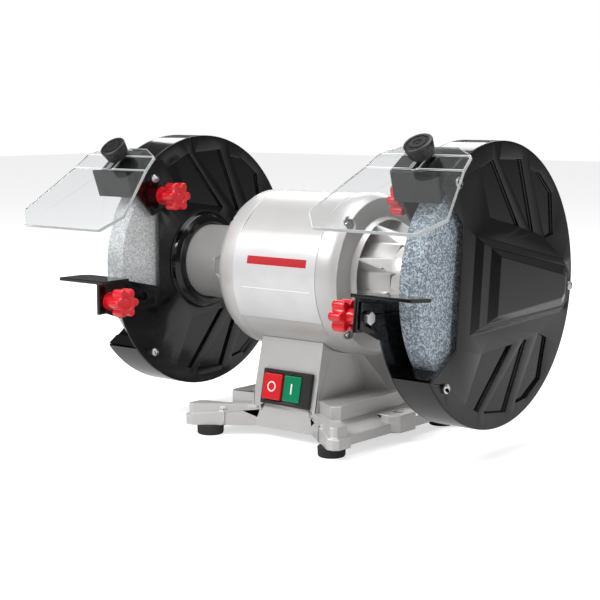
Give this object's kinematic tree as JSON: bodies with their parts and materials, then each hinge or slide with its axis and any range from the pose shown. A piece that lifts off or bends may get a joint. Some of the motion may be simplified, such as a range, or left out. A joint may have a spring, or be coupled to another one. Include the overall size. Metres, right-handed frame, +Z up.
{
  "type": "bench grinder",
  "caption": "Bench grinder: central motor on a pedestal base, a guarded abrasive wheel at each end of the shaft, sliding tool rests and tilting clear eye shields.",
  "frame": {"origin": "on the bench, below the middle of the whole machine's footprint, with the shaft 23 mm behind it", "axes": "+X along the shaft to the operator's right, -Y towards the operator, +Z up"},
  "size_m": [0.456, 0.282, 0.2695],
  "materials": {
    "silver_paint": "satin silver-grey paint",
    "zinc_plate": "zinc plated sheet",
    "foot_rubber": "moulded rubber",
    "screw_steel": "bright zinc",
    "rating_foil": "printed foil with a plain red bar",
    "lamination_steel": "stacked laminations",
    "winding_enamel": "enamelled copper wire",
    "turned_steel": "turned",
    "capacitor_can": "drawn can",
    "black_plastic": "fine moulded grain",
    "stop_red": "moulded",
    "start_green": "moulded",
    "guard_black": "gloss black enamel on pressed steel",
    "knob_red": "moulded",
    "knurled_black": "knurled",
    "blotter_card": "pressed card",
    "fine_wheel": "fine vitrified grit",
    "coarse_wheel": "coarse vitrified grit",
    "clear_shield": "clear polycarbonate"
  },
  "bodies": {
    "frame": {"base": "silver_paint", "base_plate": "zinc_plate", "rubber_feet": "foot_rubber", "foot_screws": "screw_steel", "motor_housing": "silver_paint", "left_bell": "silver_paint", "right_bell": "silver_paint", "bell_screws": "screw_steel", "rating_plate": "rating_foil", "stator_core": "lamination_steel", "stator_windings": "winding_enamel", "left_bearing": "turned_steel", "right_bearing": "turned_steel", "wave_washer": "zinc_plate", "capacitor": "capacitor_can", "capacitor_clip": "zinc_plate", "switch_housing": "black_plastic", "cable_gland": "black_plastic", "left_guard_plate": "guard_black", "left_guard_band": "guard_black", "left_guard_cover": "guard_black", "left_guard_screws": "screw_steel", "left_rest_bolt": "screw_steel", "left_arm_bolt": "screw_steel", "right_guard_plate": "guard_black", "right_guard_band": "guard_black", "right_guard_cover": "guard_black", "right_guard_screws": "screw_steel", "right_rest_bolt": "screw_steel", "right_arm_bolt": "screw_steel"},
    "rotor": {"rotor_core": "lamination_steel", "shaft": "turned_steel", "left_wheel": "fine_wheel", "left_flanges": "turned_steel", "left_blotters": "blotter_card", "left_spindle_nut": "turned_steel", "right_wheel": "coarse_wheel", "right_flanges": "turned_steel", "right_blotters": "blotter_card", "right_spindle_nut": "turned_steel"},
    "stop_button": {"stop_button": "stop_red"},
    "start_button": {"start_button": "start_green"},
    "left_rest": {"left_tool_rest": "guard_black"},
    "left_rest_knob": {"left_rest_knob": "knob_red"},
    "left_arm": {"left_shield_arm": "guard_black", "left_shield_stud": "screw_steel"},
    "left_arm_knob": {"left_arm_knob": "knob_red"},
    "left_shield": {"left_eye_shield": "clear_shield"},
    "left_shield_knob": {"left_shield_knob": "knurled_black"},
    "right_rest": {"right_tool_rest": "guard_black"},
    "right_rest_knob": {"right_rest_knob": "knob_red"},
    "right_arm": {"right_shield_arm": "guard_black", "right_shield_stud": "screw_steel"},
    "right_arm_knob": {"right_arm_knob": "knob_red"},
    "right_shield": {"right_eye_shield": "clear_shield"},
    "right_shield_knob": {"right_shield_knob": "knurled_black"}
  },
  "joints": [
    {"name": "rotor_spin", "type": "hinge", "parent": "frame", "child": "rotor", "pos_m": [0, 0.023, 0.145], "axis": [1, 0, 0], "continuous": true},
    {"name": "stop_press", "type": "slide", "parent": "frame", "child": "stop_button", "axis": [0, 0.9799, -0.1994], "range_m": [0, 0.0025], "stiffness_N_per_m": 800},
    {"name": "start_press", "type": "slide", "parent": "frame", "child": "start_button", "axis": [0, 0.9799, -0.1994], "range_m": [0, 0.0025], "stiffness_N_per_m": 800},
    {"name": "left_rest_slide", "type": "slide", "parent": "frame", "child": "left_rest", "axis": [0, -1, 0], "range_m": [-0.002, 0.04]},
    {"name": "left_rest_knob_turn", "type": "hinge", "parent": "frame", "child": "left_rest_knob", "pos_m": [-0.14, -0.105, 0.1185], "axis": [1, 0, 0], "continuous": true},
    {"name": "left_arm_tilt", "type": "hinge", "parent": "frame", "child": "left_arm", "pos_m": [-0.14, -0.048, 0.225], "axis": [-1, 0, 0], "range_deg": [-15, 20]},
    {"name": "left_arm_knob_turn", "type": "hinge", "parent": "frame", "child": "left_arm_knob", "pos_m": [-0.14, -0.037, 0.209], "axis": [1, 0, 0], "continuous": true},
    {"name": "left_shield_slide", "type": "slide", "parent": "left_arm", "child": "left_shield", "axis": [0, 0.7716, 0.6361], "range_m": [-0.006, 0.012]},
    {"name": "left_shield_knob_turn", "type": "hinge", "parent": "left_arm", "child": "left_shield_knob", "pos_m": [-0.164, -0.06715, 0.24218], "axis": [0, -0.6361, 0.7716], "continuous": true},
    {"name": "right_rest_slide", "type": "slide", "parent": "frame", "child": "right_rest", "axis": [0, -0.9962, 0.0872], "range_m": [-0.002, 0.04]},
    {"name": "right_rest_knob_turn", "type": "hinge", "parent": "frame", "child": "right_rest_knob", "pos_m": [0.14, -0.10682, 0.12976], "axis": [1, 0, 0], "continuous": true},
    {"name": "right_arm_tilt", "type": "hinge", "parent": "frame", "child": "right_arm", "pos_m": [0.14, -0.04076, 0.23088], "axis": [-1, 0, 0], "range_deg": [-15, 20]},
    {"name": "right_arm_knob_turn", "type": "hinge", "parent": "frame", "child": "right_arm_knob", "pos_m": [0.14, -0.03119, 0.21399], "axis": [1, 0, 0], "continuous": true},
    {"name": "right_shield_slide", "type": "slide", "parent": "right_arm", "child": "right_shield", "axis": [0, 0.8241, 0.5664], "range_m": [-0.006, 0.012]},
    {"name": "right_shield_knob_turn", "type": "hinge", "parent": "right_arm", "child": "right_shield_knob", "pos_m": [0.164, -0.05834, 0.24966], "axis": [0, -0.5664, 0.8241], "continuous": true}
  ]
}
